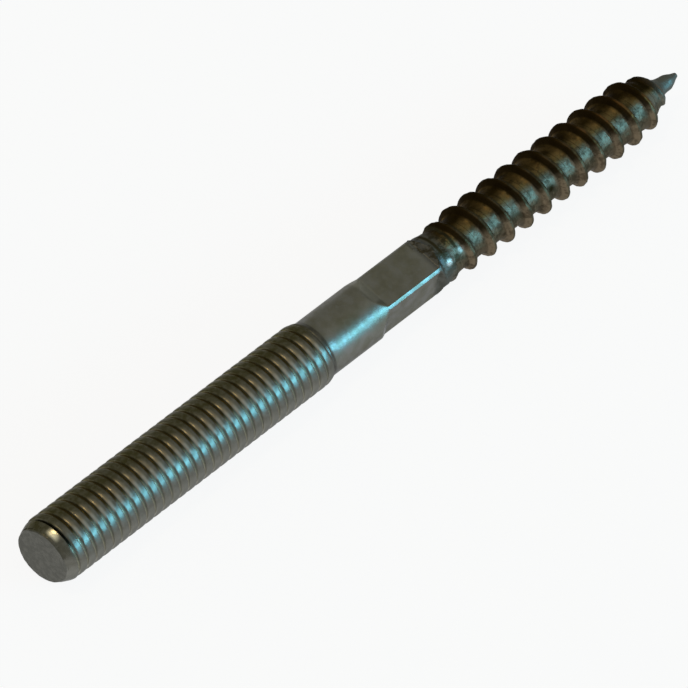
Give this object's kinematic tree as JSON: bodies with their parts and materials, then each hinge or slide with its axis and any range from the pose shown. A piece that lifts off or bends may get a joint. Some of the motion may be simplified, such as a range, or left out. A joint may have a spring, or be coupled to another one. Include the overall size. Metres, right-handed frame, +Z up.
{
  "type": "hanger bolt",
  "caption": "Headless double-ended steel bolt: machine thread, plain shank with a pressed square for a spanner, and a wood thread with a gimlet point.",
  "frame": {"origin": "middle of the bolt's bounding box at its lowest, on the surface that the bolt lies on", "axes": "+X along the bolt's axis towards the wood point, +Z up from the surface it lies on"},
  "size_m": [0.1, 0.0078, 0.0079],
  "materials": {
    "zinc_steel": "dull zinc-plated steel, darker and browner on the wood thread"
  },
  "bodies": {
    "root": {"hanger_bolt": "zinc_steel"}
  },
  "joints": []
}
